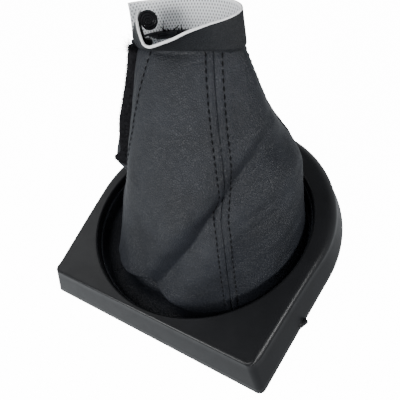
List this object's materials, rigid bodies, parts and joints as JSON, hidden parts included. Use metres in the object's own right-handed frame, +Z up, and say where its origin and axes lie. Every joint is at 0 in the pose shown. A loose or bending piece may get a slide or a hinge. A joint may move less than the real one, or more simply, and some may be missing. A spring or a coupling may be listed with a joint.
{
  "type": "gear lever gaiter",
  "caption": "Soft leather boot with creased panels and an open hook-and-loop side seam, on a D-shaped plastic surround; it closes the gap around a gear lever.",
  "frame": {"origin": "under the middle of the surround, on the surface that its locating lugs stand on", "axes": "+Z up through the gaiter to its collar, -Y out of the surround's flat side, +Y towards its round end"},
  "size_m": [0.174, 0.174, 0.1448],
  "materials": {
    "surround": "satin black moulded plastic",
    "leather": "fine grained dark grey leather, knitted white back",
    "collar": "fine grained black leather with a raw white edge",
    "tape": "black hook and loop tape"
  },
  "bodies": {
    "root": {"surround_frame": "surround", "panel_front_left": "leather", "panel_front_right": "leather", "panel_rear_right": "leather", "panel_rear_left": "leather", "collar_band": "collar", "loop_tape": "tape", "hook_tape": "tape"}
  },
  "joints": []
}
